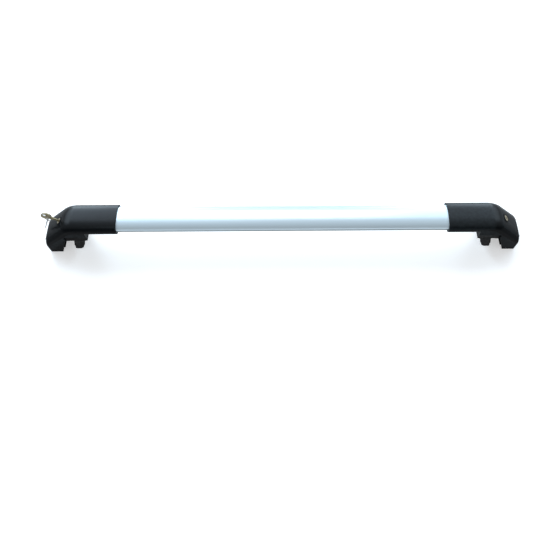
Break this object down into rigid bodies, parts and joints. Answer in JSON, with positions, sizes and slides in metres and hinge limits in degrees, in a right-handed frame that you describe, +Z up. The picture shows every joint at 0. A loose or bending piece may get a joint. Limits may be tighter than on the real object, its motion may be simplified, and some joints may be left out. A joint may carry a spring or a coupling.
{
  "type": "roof rack crossbar",
  "caption": "Aerofoil aluminium roof crossbar on two black moulded feet with sliding rail clamps and lockable hinged end flaps, standing on its feet, with a key in one lock.",
  "frame": {"origin": "on the ground, midway between the feet, at the middle of the bar's width", "axes": "+X along the bar, +Y along the vehicle (the trailing edge of the bar), +Z up"},
  "size_m": [1.05, 0.067, 0.1127],
  "materials": {
    "anodised_aluminium": "satin",
    "black_plastic": "fine moulded grain",
    "black_cast": "satin black coat",
    "rubber": "matt",
    "zinc_steel": "bright zinc",
    "brass": "dulled"
  },
  "bodies": {
    "root": {"bar_extrusion": "anodised_aluminium", "left_foot_shell": "black_plastic", "left_cover_pin": "zinc_steel", "left_clamp_body": "black_cast", "left_saddle_pad": "rubber", "left_leg_pad": "rubber", "left_bar_screws": "zinc_steel", "left_shell_screws": "zinc_steel", "right_foot_shell": "black_plastic", "right_cover_pin": "zinc_steel", "right_clamp_body": "black_cast", "right_saddle_pad": "rubber", "right_leg_pad": "rubber", "right_bar_screws": "zinc_steel", "right_shell_screws": "zinc_steel"},
    "left_jaw": {"left_inner_jaw": "black_cast", "left_jaw_pad": "rubber", "left_jaw_nut": "zinc_steel"},
    "left_bolt": {"left_clamp_bolt": "zinc_steel", "left_bolt_washer": "zinc_steel", "left_bolt_clip": "zinc_steel"},
    "left_flap": {"left_end_cover": "black_plastic", "left_lock_housing": "zinc_steel"},
    "left_lock": {"left_lock_plug": "brass", "left_lock_cam": "zinc_steel", "left_cam_screw": "zinc_steel", "key": "brass", "key_ring": "zinc_steel", "spare_key": "zinc_steel"},
    "right_jaw": {"right_inner_jaw": "black_cast", "right_jaw_pad": "rubber", "right_jaw_nut": "zinc_steel"},
    "right_bolt": {"right_clamp_bolt": "zinc_steel", "right_bolt_washer": "zinc_steel", "right_bolt_clip": "zinc_steel"},
    "right_flap": {"right_end_cover": "black_plastic", "right_lock_housing": "zinc_steel"},
    "right_lock": {"right_lock_plug": "brass", "right_lock_cam": "zinc_steel", "right_cam_screw": "zinc_steel"}
  },
  "joints": [
    {"name": "left_flap_hinge", "type": "hinge", "parent": "root", "child": "left_flap", "pos_m": [-0.52054, 0, 0.03643], "axis": [0, -1, 0], "range_deg": [0, 120]},
    {"name": "left_lock_turn", "type": "hinge", "parent": "left_flap", "child": "left_lock", "pos_m": [-0.48486, 0, 0.08085], "axis": [0.6947, 0, -0.7193], "range_deg": [0, 90]},
    {"name": "left_bolt_turn", "type": "hinge", "parent": "root", "child": "left_bolt", "pos_m": [-0.487, 0, 0.058], "axis": [1, 0, 0], "range_deg": [-3965, 2885]},
    {"name": "left_jaw_slide", "type": "slide", "parent": "root", "child": "left_jaw", "axis": [-1, 0, 0], "range_m": [-0.01375, 0.01]},
    {"name": "right_flap_hinge", "type": "hinge", "parent": "root", "child": "right_flap", "pos_m": [0.52054, 0, 0.03643], "axis": [0, 1, 0], "range_deg": [0, 120]},
    {"name": "right_lock_turn", "type": "hinge", "parent": "right_flap", "child": "right_lock", "pos_m": [0.48486, 0, 0.08085], "axis": [0.6947, 0, 0.7193], "range_deg": [0, 90]},
    {"name": "right_bolt_turn", "type": "hinge", "parent": "root", "child": "right_bolt", "pos_m": [0.487, 0, 0.058], "axis": [-1, 0, 0], "range_deg": [-3965, 2885]},
    {"name": "right_jaw_slide", "type": "slide", "parent": "root", "child": "right_jaw", "axis": [1, 0, 0], "range_m": [-0.01375, 0.01]}
  ],
  "couplings": [
    {"joint": "left_bolt_turn", "follows": "left_jaw_slide", "rad_per_m": 5026.5},
    {"joint": "right_bolt_turn", "follows": "right_jaw_slide", "rad_per_m": 5026.5}
  ]
}
